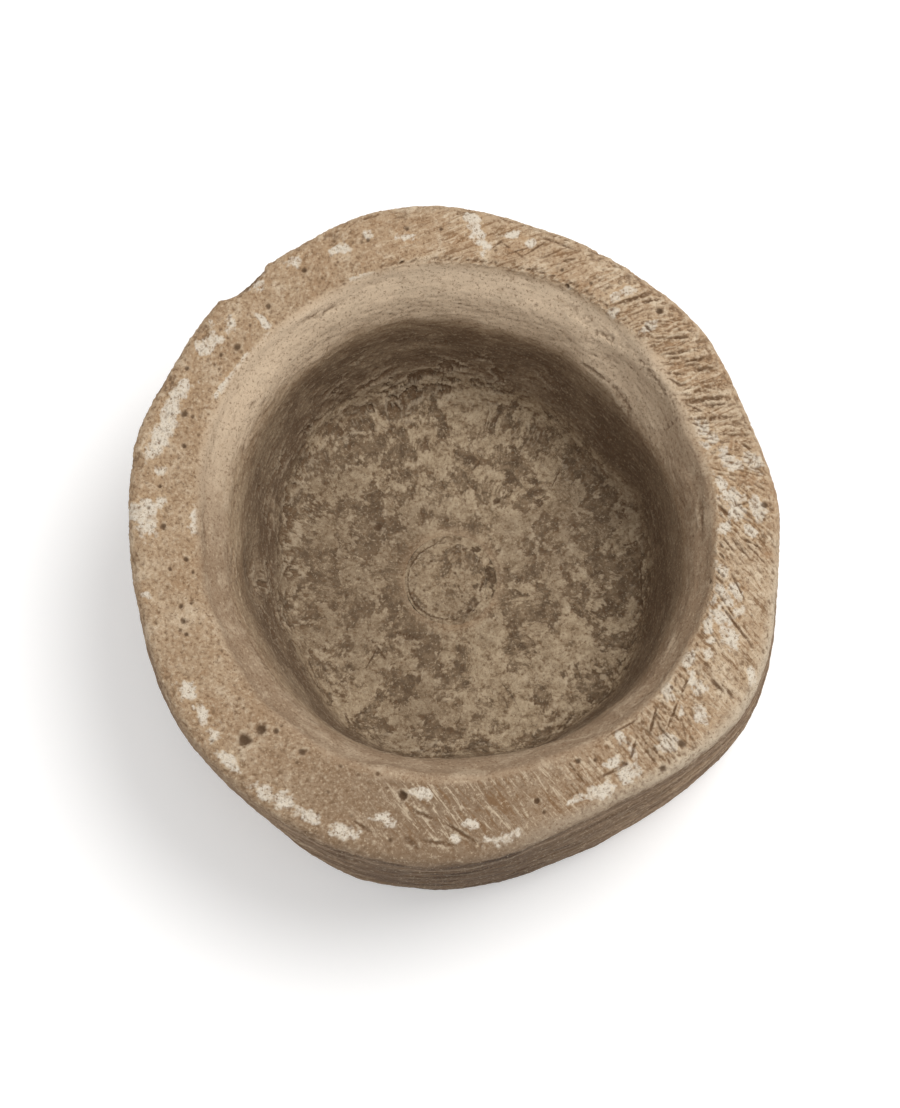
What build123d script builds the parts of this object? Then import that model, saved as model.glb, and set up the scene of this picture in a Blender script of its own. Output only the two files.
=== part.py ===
from build123d import *
import os
from math import cos, pi, radians, sin

# A round limestone trough, hewn by hand out of one block, with its old drain hole
# closed by a mortar plug. Millimetres, +Z up, the front of the trough towards -Y.

# Driving dimensions
HEIGHT = 338.0
FLOOR_THICKNESS = 80.0
RIM_FALL = 6.0
RIM_FALL_WAY = (0.6, 0.8)
RIM_WAVE = 2.5
RIM_WAVE_LENGTHS = (600.0, 750.0)
FOOT_ARRIS_RADIUS = 7.0
OUTER_ARRIS_RADIUS = 9.0
INNER_ARRIS_RADIUS = 14.0
FLOOR_CORNER_RADIUS = 34.0

# Drain hole, its plug and the bedding mortar round the plug. The plug sits off centre,
# so the mortar is thin on the left and thick on the right.
HOLE_TOP_DIAMETER = 100.0
HOLE_BOTTOM_DIAMETER = 80.0
HOLE_CENTRE = (-4.5, -5.0)
PLUG_TOP_DIAMETER = 90.0
PLUG_BOTTOM_DIAMETER = 72.0
PLUG_SHIFT = (-4.0, -1.0)
PLUG_PROUD = 1.5
PLUG_EDGE_WEAR = 1.2
CHISEL_FLATS = 28
OUT_OF_ROUND = 0.01
OUT_OF_ROUND_LOBES = 5
PLUG_ABOVE_GROUND = 14.0
MORTAR_SUNK = 1.5
MORTAR_ABOVE_GROUND = 10.0

# Bites out of the block: (direction in degrees, distance from the axis, height, radius)
RIM_SPALL = (131.0, 370.0, 328.0, 50.0)
LIP_SCOOP = (40.0, 81.0, 328.0, 170.0)
WALL_HOLLOW = (186.0, 134.0, 205.0, 88.0)

# Each outline is a ring of faces left by the pick: (direction in degrees, distance
# from the trough's axis). Direction 0 is +X and direction 90 is the back.
FOOT_FACES = [
    (3, 333), (30, 324), (60, 322), (90, 329), (120, 328), (150, 325), (178, 326),
    (203, 335), (230, 320), (262, 335), (287, 325), (303, 326), (319, 350), (336, 354),
]
RIM_FACES = [
    (22, 313), (51, 319), (72, 320), (95, 336), (121, 331), (150, 328), (178, 328), (194, 325),
    (212, 338), (232, 343), (254, 345), (276, 341), (297, 322), (318, 341), (338, 346), (355, 324),
]
OPENING_FACES = [
    (0, 253), (25, 246), (50, 260), (78, 265), (98, 267), (125, 262), (148, 265), (165, 264),
    (182, 251), (206, 252), (235, 256), (262, 250), (285, 248), (310, 257), (335, 258),
]
FLOOR_FACES = [
    (14, 217), (45, 202), (75, 208), (106, 221), (133, 226), (155, 208),
    (182, 191), (212, 193), (245, 209), (275, 204), (305, 211), (332, 215), (353, 211),
]
CRISPNESS = 36
POINTS_ROUND = 44
ARRIS_STEPS = 3

# The outside between its two arrises: (share of the height, belly in mm). The inside
# between its arris and the corner at the floor: (share of the basin's depth, share of
# the way from the opening's outline to the floor's).
OUTER_WALL = [(0.16, 3.5), (0.38, 6.0), (0.60, 5.0), (0.80, 2.5)]
BASIN_WALL = [(0.16, 0.34), (0.33, 0.50), (0.55, 0.66), (0.75, 0.83)]


def hewn_radius(faces, angle):
    """Distance from the axis to a ring of flat faces whose corners are worn round."""
    total = 0.0
    for direction, distance in faces:
        total += (max(0.0, cos(angle - radians(direction))) / distance) ** CRISPNESS
    return total ** (-1.0 / CRISPNESS)


def rim_height(x, y):
    """The dressed rim falls to the front left, and rises and dips in slow waves."""
    across = (RIM_FALL_WAY[0] * x + RIM_FALL_WAY[1] * y) / HEIGHT
    fall = RIM_FALL * (1 - across) / 2
    wave = RIM_WAVE * cos(2 * pi * x / RIM_WAVE_LENGTHS[0]) * sin(2 * pi * y / RIM_WAVE_LENGTHS[1])
    return HEIGHT - RIM_WAVE - fall + wave


def ring(faces_from, faces_to, share, grow, height_of):
    """A closed curve, a share of the way from one ring of faces to another and then
    grown outwards. height_of gives each point's height from the rim's height there."""
    points = []
    for step in range(POINTS_ROUND):
        angle = 2 * pi * step / POINTS_ROUND
        near = hewn_radius(faces_from, angle)
        far = hewn_radius(faces_to, angle)
        radius = near + (far - near) * share + grow
        x = radius * cos(angle)
        y = radius * sin(angle)
        points.append((x, y, height_of(rim_height(x, y))))
    return Wire([Edge.make_spline(points, periodic=True)])


def quarter_round(radius):
    """A worn arris in steps: (how far in from the face, how far down from the top)."""
    steps = []
    for step in range(ARRIS_STEPS + 1):
        angle = pi / 2 * step / ARRIS_STEPS
        steps.append((radius * (1 - cos(angle)), radius * (1 - sin(angle))))
    return steps


def outside_rings():
    """From the edge of the base, round the foot and up the outside to the rim."""
    rings = []
    for inward, up in reversed(quarter_round(FOOT_ARRIS_RADIUS)):
        rings.append(ring(FOOT_FACES, RIM_FACES, 0.0, -inward, lambda top: up))
    for share, belly in OUTER_WALL:
        rings.append(ring(FOOT_FACES, RIM_FACES, share, belly, lambda top: top * share))
    for inward, down in quarter_round(OUTER_ARRIS_RADIUS):
        rings.append(ring(FOOT_FACES, RIM_FACES, 1.0, -inward, lambda top: top - down))
    return rings


def basin_rings():
    """From the rim over the soft inner arris, down the wall and round onto the floor."""
    rings = []
    for outward, down in reversed(quarter_round(INNER_ARRIS_RADIUS)):
        rings.append(ring(OPENING_FACES, FLOOR_FACES, 0.0, outward, lambda top: top - down))
    for depth, share in BASIN_WALL:
        drop = lambda top: top - (top - FLOOR_THICKNESS) * depth
        rings.append(ring(OPENING_FACES, FLOOR_FACES, share, 0.0, drop))
    for inward, up in quarter_round(FLOOR_CORNER_RADIUS):
        rings.append(ring(OPENING_FACES, FLOOR_FACES, 1.0, -inward, lambda top: FLOOR_THICKNESS + up))
    return rings


def bite(direction, distance, height, radius):
    """A ball that takes a shallow, dished piece out of the stone."""
    angle = radians(direction)
    return Pos(distance * cos(angle), distance * sin(angle), height) * Sphere(radius)


def hand_cut_disc(centre, outlines):
    """A tapered round that is cut by chisel in narrow flats, so it is not quite true.
    Its outlines go upwards: (diameter, height)."""
    rings = []
    for diameter, height in outlines:
        points = []
        for flat in range(CHISEL_FLATS):
            angle = 2 * pi * flat / CHISEL_FLATS
            radius = diameter / 2 * (1 + OUT_OF_ROUND * cos(OUT_OF_ROUND_LOBES * angle))
            points.append((centre[0] + radius * cos(angle), centre[1] + radius * sin(angle), height))
        rings.append(Wire.make_polygon(points, close=True))
    return Solid.make_loft(rings, ruled=True)


def slab(bottom, top):
    """A level block, wide enough to trim the plug's mortar between two heights."""
    standing = (Align.CENTER, Align.CENTER, Align.MIN)
    return Pos(0, 0, bottom) * Box(HEIGHT, HEIGHT, top - bottom, align=standing)


# The stone is one skin: up the outside, over the rim and down the basin to the floor
trough_body = Solid.make_loft(outside_rings() + basin_rings(), ruled=True)
for place in (RIM_SPALL, LIP_SCOOP, WALL_HOLLOW):
    trough_body = trough_body - bite(*place)

drain_hole = hand_cut_disc(
    HOLE_CENTRE, [(HOLE_BOTTOM_DIAMETER, 0), (HOLE_TOP_DIAMETER, FLOOR_THICKNESS)]
)
trough_body = trough_body - drain_hole

plug_centre = (HOLE_CENTRE[0] + PLUG_SHIFT[0], HOLE_CENTRE[1] + PLUG_SHIFT[1])
plug_top = FLOOR_THICKNESS + PLUG_PROUD
drain_plug = hand_cut_disc(
    plug_centre,
    [
        (PLUG_BOTTOM_DIAMETER, PLUG_ABOVE_GROUND),
        (PLUG_TOP_DIAMETER, plug_top - PLUG_EDGE_WEAR),
        (PLUG_TOP_DIAMETER - 2 * PLUG_EDGE_WEAR, plug_top),
    ],
)
plug_mortar_collar = drain_hole & slab(MORTAR_ABOVE_GROUND, FLOOR_THICKNESS - MORTAR_SUNK)
plug_mortar_collar = plug_mortar_collar - drain_plug

# The origin is on the ground under the middle of the stone
box = trough_body.bounding_box()
to_origin = Pos(-(box.min.X + box.max.X) / 2, -(box.min.Y + box.max.Y) / 2, -box.min.Z)
pieces = {
    "trough_body": trough_body,
    "drain_plug": drain_plug,
    "plug_mortar_collar": plug_mortar_collar,
}
os.makedirs("parts", exist_ok=True)
for name, piece in pieces.items():
    export_step(to_origin * piece, f"parts/{name}.step")
print("middle of the stone", box.center())
print("size", box.size)
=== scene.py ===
import math

import bpy
import numpy as np
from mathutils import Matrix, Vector
from mathutils.bvhtree import BVHTree


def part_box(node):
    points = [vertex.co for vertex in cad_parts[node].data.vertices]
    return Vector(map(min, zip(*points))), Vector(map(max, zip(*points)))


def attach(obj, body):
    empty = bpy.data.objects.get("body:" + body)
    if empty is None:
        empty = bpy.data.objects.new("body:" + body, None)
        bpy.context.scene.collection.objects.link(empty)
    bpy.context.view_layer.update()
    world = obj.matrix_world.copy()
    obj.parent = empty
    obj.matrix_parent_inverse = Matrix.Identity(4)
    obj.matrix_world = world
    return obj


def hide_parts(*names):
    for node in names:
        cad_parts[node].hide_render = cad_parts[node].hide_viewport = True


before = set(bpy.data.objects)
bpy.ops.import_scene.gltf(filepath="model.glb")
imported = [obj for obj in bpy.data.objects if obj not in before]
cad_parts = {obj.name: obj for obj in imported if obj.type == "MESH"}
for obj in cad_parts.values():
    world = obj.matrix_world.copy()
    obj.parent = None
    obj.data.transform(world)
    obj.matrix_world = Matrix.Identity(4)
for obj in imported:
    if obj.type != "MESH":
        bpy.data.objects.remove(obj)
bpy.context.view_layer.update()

MM = 0.001
SEED = 41
MORTAR_SUNK = 1.5 * MM
AXIS_FROM_HOLE = (4.0 * MM, 5.0 * MM, 0.0)

# The photograph and the camera that took it
PHOTO_WIDTH = 900
PHOTO_HEIGHT = 1108
CAMERA_DISTANCE = 2.500
CAMERA_ELEVATION = math.radians(76)
FOCAL_PIXELS = 2528
SENSOR = 36.0
AIM_BESIDE_AXIS = (-4.5 * MM, -36 * MM)

# Where things are, worked out from the frame
STONE = "trough_body"
PLUG = "drain_plug"
MORTAR = "plug_mortar_collar"
stone_low, stone_high = [Vector(corner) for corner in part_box(STONE)]
mortar_low, mortar_high = [Vector(corner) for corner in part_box(MORTAR)]
plug_low, plug_high = [Vector(corner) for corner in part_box(PLUG)]
hole_centre = (mortar_low + mortar_high) / 2
axis = hole_centre + Vector(AXIS_FROM_HOLE)
rim_top = stone_high.z
floor_top = mortar_high.z + MORTAR_SUNK


# Noise

class Noise:
    """Gradient noise in space, the same on every run."""

    CELLS = 64

    def __init__(self, seed):
        random = np.random.default_rng(seed)
        gradients = random.normal(size=(self.CELLS ** 3, 3))
        self.gradients = (gradients / np.linalg.norm(gradients, axis=1)[:, None]).astype(np.float32)

    def __call__(self, points, size):
        """Values from about -1 to 1 at points, in metres, for bumps of this size."""
        p = points / size
        cell = np.floor(p)
        inside = (p - cell).astype(np.float32).T
        low = cell.astype(np.int64).T % self.CELLS
        high = (low + 1) % self.CELLS
        ease = inside * inside * inside * (inside * (inside * 6 - 15) + 10)
        total = np.zeros(len(p), np.float32)
        for corner in range(8):
            step = (corner & 1, corner >> 1 & 1, corner >> 2 & 1)
            x, y, z = (high[k] if step[k] else low[k] for k in range(3))
            slope = self.gradients[(x * self.CELLS + y) * self.CELLS + z]
            weight = 1.0
            rise = 0.0
            for k in range(3):
                weight = weight * (ease[k] if step[k] else 1 - ease[k])
                rise = rise + slope[:, k] * (inside[k] - step[k])
            total += weight * rise
        return total.astype(float) * 1.7

    def layers(self, points, size, count, rough=0.5):
        """Several sizes of noise on top of each other, each half as large."""
        total = np.zeros(len(points))
        strength = 1.0
        for _ in range(count):
            total += strength * self(points, size)
            points = points + 7.31 * size
            size *= 0.5
            strength *= rough
        return total


def smooth_step(low, high, value):
    share = np.clip((value - low) / (high - low), 0.0, 1.0)
    return share * share * (3 - 2 * share)


# The camera

rim_centre = Vector((axis.x, axis.y, rim_top))
to_camera = Vector((0, -math.cos(CAMERA_ELEVATION), math.sin(CAMERA_ELEVATION)))
camera_place = rim_centre + CAMERA_DISTANCE * to_camera
camera_aim = rim_centre + Vector((*AIM_BESIDE_AXIS, 0))
camera_turn = (camera_aim - camera_place).to_track_quat("-Z", "Y")


def add_camera():
    data = bpy.data.cameras.new("camera")
    data.sensor_width = SENSOR
    data.lens = SENSOR * FOCAL_PIXELS / PHOTO_HEIGHT
    camera = bpy.data.objects.new("camera", data)
    camera.location = camera_place
    camera.rotation_mode = "QUATERNION"
    camera.rotation_quaternion = camera_turn
    bpy.context.collection.objects.link(camera)
    bpy.context.scene.camera = camera


def sight_line(x, y):
    """The direction in which the camera sees a pixel of the photograph."""
    ray = Vector((x - PHOTO_WIDTH / 2, PHOTO_HEIGHT / 2 - y, -FOCAL_PIXELS))
    ray.rotate(camera_turn)
    return ray.normalized()


# The stone's skin as a grid: columns go round the drain hole, rows go from the bore's
# foot along the base, up the outside, over the rim, down the basin and back to the bore.
# A point is where a ray from a skeleton inside the stone meets the CAD stone, and the
# bore's rows run straight between its two edges.

COLUMNS = 1600
CAST_COLUMNS = 320
CORE_Z = 40 * MM
SHOULDER_Z = 296 * MM
CORE_RADIUS = 262 * MM
RIM_RADIUS = 295 * MM
BORE_SKELETON = 66 * MM
EDGE_ROUND = 10 * MM
LIP_ROUND = 14 * MM
CORNER_ROUND = 34 * MM
CORNER_STANDOFF = 40 * MM
FLOOR_END = 50 * MM
BORE_END = 1 * MM
ROW_STEPS = {"base": 14 * MM, "outside": 2.1 * MM, "edge": 1.6 * MM, "lip": 1.5 * MM, "wall": 1.8 * MM}
RIM_ROWS = 64
FLOOR_ROWS = 66
# Turns in degrees: (start, end, step)
FOOT_TURNS = [(-90, -42, 10), (-42, -18, 1.3), (-18, 0, 4)]
EDGE_TURNS = (0, 90, 8)
LIP_TURNS = (90, 0, 6)
CORNER_TURNS = (0, 90, 3.4)
# The bore's rows, as shares of the way from its top edge to its bottom edge
BORE_SHARES = [0.0, 0.01, 0.04, 0.1, 0.2, 0.4, 0.6, 0.8, 0.96, 1.0]


def cad_tree(name):
    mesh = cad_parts[name].data
    corners = [v.co.copy() for v in mesh.vertices]
    faces = [tuple(p.vertices) for p in mesh.polygons]
    return BVHTree.FromPolygons(corners, faces)


def spread(start, end, step):
    """Evenly spaced values from start to just short of end, about one step apart."""
    count = max(1, round(abs(end - start) / step))
    return [start + (end - start) * i / count for i in range(count)]


def turned(start, end, step):
    """Directions along an arc that is given in degrees: (across, up)."""
    return [(math.cos(math.radians(turn)), math.sin(math.radians(turn))) for turn in spread(start, end, step)]


def skeleton_radius(z, middle):
    """The skeleton in the wall leans from the core to the middle of the rim."""
    return CORE_RADIUS + (middle - CORE_RADIUS) * (z - CORE_Z) / (SHOULDER_Z - CORE_Z)


def rim_targets(outer, inner):
    """What the rays from the top of the skeleton aim at: (radius, height, zone)."""
    targets = [(outer, z, "edge") for z in spread(SHOULDER_Z, rim_top - EDGE_ROUND, ROW_STEPS["edge"])]
    for across, up in turned(*EDGE_TURNS):
        targets.append((outer - EDGE_ROUND * (1 - across), rim_top - EDGE_ROUND * (1 - up), "edge"))
    start, end = outer - EDGE_ROUND, inner + LIP_ROUND
    for share in spread(0, 1, 1 / RIM_ROWS):
        targets.append((start + (end - start) * share, rim_top, "rim"))
    for across, up in turned(*LIP_TURNS):
        targets.append((inner + LIP_ROUND * (1 - across), rim_top - LIP_ROUND * (1 - up), "lip"))
    for z in spread(rim_top - LIP_ROUND, SHOULDER_Z, ROW_STEPS["lip"]):
        targets.append((inner, z, "lip"))
    return targets


def section_rays(outer, inner, low_reach):
    """Rays in one upright section: (radius, height) inside the stone, the direction out
    of it and the zone it meets. outer and inner are the wall's two faces near the rim,
    low_reach is the foot of the basin's wall."""
    middle = (outer + inner) / 2
    rays = []
    for r in spread(BORE_SKELETON, CORE_RADIUS, ROW_STEPS["base"]):
        rays.append((r, CORE_Z, 0.0, -1.0, "base"))
    for turns in FOOT_TURNS:
        for across, up in turned(*turns):
            rays.append((CORE_RADIUS, CORE_Z, across, up, "foot"))
    for z in spread(CORE_Z, SHOULDER_Z, ROW_STEPS["outside"]):
        rays.append((skeleton_radius(z, middle), z, 1.0, 0.0, "outside"))
    for r, z, zone in rim_targets(outer, inner):
        length = math.hypot(r - middle, z - SHOULDER_Z)
        rays.append((middle, SHOULDER_Z, (r - middle) / length, (z - SHOULDER_Z) / length, zone))
    corner_z = floor_top + CORNER_ROUND
    for z in spread(SHOULDER_Z, corner_z, ROW_STEPS["wall"]):
        rays.append((skeleton_radius(z, middle), z, -1.0, 0.0, "wall"))
    start = low_reach - CORNER_ROUND
    off = CORNER_ROUND + CORNER_STANDOFF
    for across, up in turned(*CORNER_TURNS):
        rays.append((start + off * across, corner_z - off * up, -across, up, "corner"))
    for share in spread(0, 1, 1 / FLOOR_ROWS):
        rays.append((start + (FLOOR_END - start) * share, CORE_Z, 0.0, 1.0, "floor"))
    return rays


def beside_hole(direction, r, z):
    return Vector((hole_centre.x + r * direction[0], hole_centre.y + r * direction[1], z))


def cast(direction, r, z, out, up):
    """Where a ray in one upright section meets the CAD stone."""
    way = Vector((out * direction[0], out * direction[1], up))
    return stone_tree.ray_cast(beside_hole(direction, r, z), way)[0]


def reach(direction, r, z, out):
    """How far from the hole's centre a level ray meets the CAD stone."""
    return (cast(direction, r, z, out, 0.0).xy - hole_centre.xy).length


def stone_skin():
    """Points of the CAD stone on the grid, (rows, columns, 3), and each row's zone."""
    columns = []
    for j in range(CAST_COLUMNS):
        a = 2 * math.pi * j / CAST_COLUMNS
        direction = (math.cos(a), math.sin(a))
        outer, inner = (reach(direction, RIM_RADIUS, SHOULDER_Z, out) for out in (1.0, -1.0))
        low_reach = reach(direction, CORE_RADIUS, floor_top + CORNER_ROUND, -1.0)
        bore_top, bore_foot = (
            reach(direction, BORE_SKELETON, z, -1.0) for z in (floor_top - BORE_END, BORE_END)
        )
        rays = section_rays(outer, inner, low_reach)
        column = [cast(direction, *ray[:4]) for ray in rays]
        for share in BORE_SHARES:
            r = bore_top + (bore_foot - bore_top) * share
            column.append(beside_hole(direction, r, floor_top * (1 - share)))
        columns.append([tuple(point) for point in column])
    zones = [ray[4] for ray in rays] + ["bore"] * len(BORE_SHARES)
    return np.array(columns).transpose(1, 0, 2), np.array(zones)


def around(rows_by_columns, columns):
    """The grid with more columns, by a smooth closed curve through each row."""
    old = rows_by_columns.shape[1]
    at = np.arange(columns) * old / columns
    first = np.floor(at).astype(int)
    t = (at - first)[None, :, None]
    p = [rows_by_columns[:, (first + k) % old] for k in (-1, 0, 1, 2)]
    a = -0.5 * p[0] + 1.5 * p[1] - 1.5 * p[2] + 0.5 * p[3]
    b = p[0] - 2.5 * p[1] + 2 * p[2] - 0.5 * p[3]
    c = -0.5 * p[0] + 0.5 * p[2]
    return ((a * t + b) * t + c) * t + p[1]


def normals(points):
    """Outward unit normals of a grid that is closed both ways."""
    along_row = np.roll(points, -1, 1) - np.roll(points, 1, 1)
    along_column = np.roll(points, -1, 0) - np.roll(points, 1, 0)
    normal = np.cross(along_row, along_column)
    length = np.linalg.norm(normal, axis=2, keepdims=True)
    return normal / np.maximum(length, 1e-12)


def blur(field, rows, columns):
    """A box blur of a closed grid, over so many rows and columns each way."""
    for axis_index, reach in ((0, rows), (1, columns)):
        if reach < 1:
            continue
        size = field.shape[axis_index]
        padded = np.concatenate([np.take(field, range(size - reach, size), axis_index), field,
                                 np.take(field, range(reach), axis_index)], axis_index)
        total = np.cumsum(padded, axis_index)
        zero = np.zeros_like(np.take(total, [0], axis_index))
        total = np.concatenate([zero, total], axis_index)
        width = 2 * reach + 1
        high = np.take(total, range(width, width + size), axis_index)
        low = np.take(total, range(size), axis_index)
        field = (high - low) / width
    return field


# Marks read off the photograph, as pixels of its 900 x 1108 frame. Widths, lengths and
# depths are real millimetres.

# (x, y, width, depth)
PITS = [
    (261, 729, 11, 6), (244, 740, 14, 7), (276, 731, 6, 3), (302, 752, 7, 3), (403, 795, 9, 7),
    (390, 840, 4, 2), (304, 270, 7, 3), (268, 306, 6, 3), (237, 347, 8, 3), (221, 355, 5, 2),
    (187, 368, 5, 2), (184, 414, 8, 3), (184, 446, 5, 3), (160, 486, 4, 2), (163, 526, 6, 3),
    (186, 559, 5, 3), (170, 569, 4, 2), (193, 572, 4, 2), (181, 606, 5, 2), (191, 603, 3, 2),
    (183, 621, 5, 3), (186, 634, 4, 2), (368, 240, 5, 2), (407, 229, 4, 2), (441, 229, 4, 2),
    (567, 286, 6, 4), (660, 311, 8, 5), (765, 505, 7, 4), (578, 761, 5, 3), (595, 760, 4, 2),
    (537, 801, 6, 4), (544, 812, 4, 2), (682, 744, 8, 3), (663, 769, 8, 4), (709, 581, 5, 3),
    (497, 501, 8, 4), (378, 527, 9, 3), (591, 283, 4, 2), (562, 270, 4, 2), (692, 536, 4, 2),
]

# (x, y, x, y, width, depth)
FURROWS = [
    (560, 262, 577, 258, 4, 1.6), (582, 293, 606, 276, 4, 1.8), (590, 300, 612, 285, 4, 2.2),
    (596, 306, 617, 293, 3, 1.2), (612, 306, 634, 297, 4, 1.6), (623, 302, 655, 291, 5, 2.6),
    (640, 303, 664, 298, 4, 2.0), (618, 322, 646, 309, 4, 2.4), (644, 325, 652, 332, 4, 2.0),
    (626, 333, 645, 320, 3, 1.6), (633, 336, 667, 339, 5, 3.0), (667, 339, 692, 336, 5, 2.8),
    (660, 355, 694, 350, 4, 2.2), (668, 359, 680, 357, 5, 2.6), (684, 362, 712, 356, 5, 2.6),
    (665, 373, 686, 374, 4, 2.0), (690, 371, 720, 367, 6, 2.2), (668, 378, 682, 386, 3, 1.8),
    (671, 395, 722, 388, 5, 3.2), (682, 403, 732, 396, 6, 3.2), (705, 407, 729, 403, 4, 2.4),
    (684, 404, 704, 412, 3, 1.6), (686, 419, 740, 417, 5, 2.8), (690, 422, 708, 430, 3, 1.6),
    (727, 436, 752, 434, 5, 2.0), (742, 444, 754, 451, 3, 1.6), (734, 506, 752, 501, 3, 1.8),
    (703, 496, 727, 514, 4, 2.0), (712, 544, 726, 562, 3, 1.8), (722, 537, 735, 553, 3, 2.0),
    (731, 538, 752, 561, 4, 2.2), (742, 538, 764, 550, 4, 2.0), (745, 543, 768, 566, 3, 1.6),
    (714, 563, 736, 597, 4, 2.4), (731, 572, 746, 603, 3, 1.6), (716, 590, 737, 622, 4, 2.4),
    (717, 600, 757, 653, 4, 2.0), (704, 622, 722, 650, 3, 1.6), (689, 676, 680, 697, 3, 2.4),
    (680, 697, 666, 731, 3, 2.2), (657, 705, 649, 736, 4, 2.6), (651, 690, 636, 738, 4, 2.0),
    (636, 738, 630, 762, 4, 2.2), (654, 721, 677, 747, 3, 2.4), (711, 680, 726, 694, 6, 2.6),
    (719, 681, 734, 699, 4, 2.0), (648, 742, 663, 760, 5, 2.4), (643, 747, 657, 764, 4, 1.8),
    (553, 756, 581, 798, 4, 2.0), (565, 758, 587, 786, 3, 1.4), (606, 737, 640, 718, 3, 1.8),
    (597, 779, 630, 763, 4, 1.6), (620, 762, 630, 766, 5, 2.2), (444, 822, 482, 846, 4, 2.2),
    (410, 809, 436, 820, 4, 1.8), (352, 820, 373, 833, 4, 1.8), (419, 840, 461, 846, 5, 1.8),
    (404, 836, 420, 850, 7, 2.2), (505, 254, 532, 247, 3, 1.6), (512, 264, 548, 240, 3, 1.8),
    (520, 268, 560, 250, 3, 1.6), (498, 240, 530, 262, 3, 1.4), (530, 271, 566, 262, 3, 1.6),
    (540, 236, 580, 252, 4, 1.4), (490, 250, 505, 238, 3, 1.4), (548, 284, 574, 262, 4, 2.0),
]

# (x, y, half length, half width, turn in degrees), on the rim
PALE_PATCHES = [
    (148, 505, 11, 9, 0), (149, 525, 13, 8, 80), (162, 471, 5, 4, 0), (160, 437, 16, 8, 65),
    (180, 391, 16, 8, 60), (172, 410, 9, 6, 60), (206, 345, 15, 8, 60), (231, 324, 8, 6, 50),
    (261, 283, 11, 6, 45), (293, 262, 6, 5, 30), (339, 250, 8, 5, 20), (367, 237, 7, 5, 10),
    (405, 237, 7, 5, 0), (473, 217, 7, 6, 0), (483, 241, 10, 7, 110), (476, 230, 9, 6, 110),
    (188, 690, 11, 7, 120), (203, 713, 12, 7, 130), (214, 735, 7, 5, 130), (228, 760, 10, 6, 130),
    (265, 792, 14, 7, 140), (287, 804, 14, 8, 148), (310, 817, 9, 5, 150), (342, 831, 13, 6, 160),
    (196, 520, 5, 12, 0), (147, 594, 4, 3, 0), (456, 838, 5, 4, 0), (420, 794, 11, 4, 175),
    (697, 430, 8, 9, 30), (703, 444, 8, 4, 140), (713, 438, 5, 5, 0), (726, 452, 7, 5, 130),
    (732, 462, 9, 7, 120), (752, 461, 6, 10, 20), (722, 483, 8, 5, 150), (735, 494, 14, 8, 10),
    (738, 512, 10, 8, 120), (756, 508, 10, 6, 120), (748, 530, 12, 4, 135), (725, 530, 8, 6, 60),
    (722, 572, 10, 5, 128), (734, 588, 12, 6, 125), (722, 590, 9, 5, 125), (729, 604, 9, 6, 130),
    (722, 620, 16, 9, 105), (738, 612, 7, 6, 60), (734, 640, 9, 6, 120), (708, 628, 7, 4, 120),
    (712, 640, 5, 4, 90), (688, 657, 8, 7, 45), (710, 655, 6, 6, 0), (751, 674, 4, 9, 10),
    (700, 690, 9, 7, 70), (692, 681, 4, 8, 0), (681, 708, 3, 7, 0), (668, 692, 5, 10, 10),
    (701, 712, 6, 9, 20), (640, 705, 7, 5, 45), (666, 745, 9, 7, 45), (619, 737, 6, 6, 30),
    (631, 748, 4, 12, 20), (612, 762, 9, 5, 45), (625, 775, 12, 8, 30), (600, 790, 14, 6, 25),
    (575, 800, 9, 4, 30), (470, 825, 8, 4, 160), (500, 838, 14, 5, 10), (385, 820, 10, 5, 160),
    (615, 296, 5, 4, 30), (628, 290, 6, 4, 20), (611, 317, 6, 4, 50), (648, 327, 9, 4, 20),
    (530, 243, 7, 4, 30), (512, 235, 8, 4, 20), (560, 295, 6, 4, 20), (231, 380, 22, 3, 50),
    (256, 350, 22, 3, 50), (264, 322, 13, 3, -42), (371, 279, 26, 3, 10), (140, 512, 13, 12, 85),
]

# (x, y, radius, depth): stone knocked off the rim's outer edge
EDGE_CHIPS = [
    (600, 249, 13, 3.0), (618, 262, 9, 2.0), (635, 275, 12, 3.2), (656, 291, 9, 2.0),
    (678, 311, 12, 3.0), (691, 325, 8, 2.0), (703, 342, 11, 3.0), (714, 360, 8, 2.0),
    (724, 381, 11, 3.0), (735, 402, 9, 2.0), (744, 424, 11, 2.6), (762, 470, 10, 2.2),
    (772, 508, 9, 2.0), (779, 548, 9, 1.8), (775, 610, 12, 2.0), (762, 664, 12, 2.6),
    (747, 702, 13, 2.6), (727, 730, 12, 2.4), (697, 758, 10, 2.0), (620, 800, 12, 2.0),
    (540, 843, 12, 2.4), (470, 853, 10, 2.0), (300, 828, 13, 2.4), (232, 782, 12, 2.4),
    (160, 690, 12, 2.6), (133, 560, 10, 1.8), (135, 460, 12, 2.2), (166, 384, 12, 2.6),
    (200, 332, 12, 2.6), (330, 236, 12, 2.2), (400, 213, 9, 1.6), (466, 210, 10, 2.0),
]

# (x, y, x, y, width, depth): cracks in the floor
CRACKS = [
    (344, 714, 352, 728, 2.0, 1.6), (352, 728, 365, 746, 2.4, 2.0), (365, 746, 385, 754, 2.2, 1.8),
    (385, 754, 408, 758, 2.0, 1.4), (372, 640, 386, 660, 1.8, 1.0), (376, 651, 366, 668, 1.6, 0.8),
    (640, 562, 642, 600, 2.2, 1.4), (642, 600, 641, 640, 2.2, 1.2), (397, 632, 420, 640, 1.6, 0.9),
    (560, 470, 552, 486, 1.8, 0.9),
]

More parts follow.
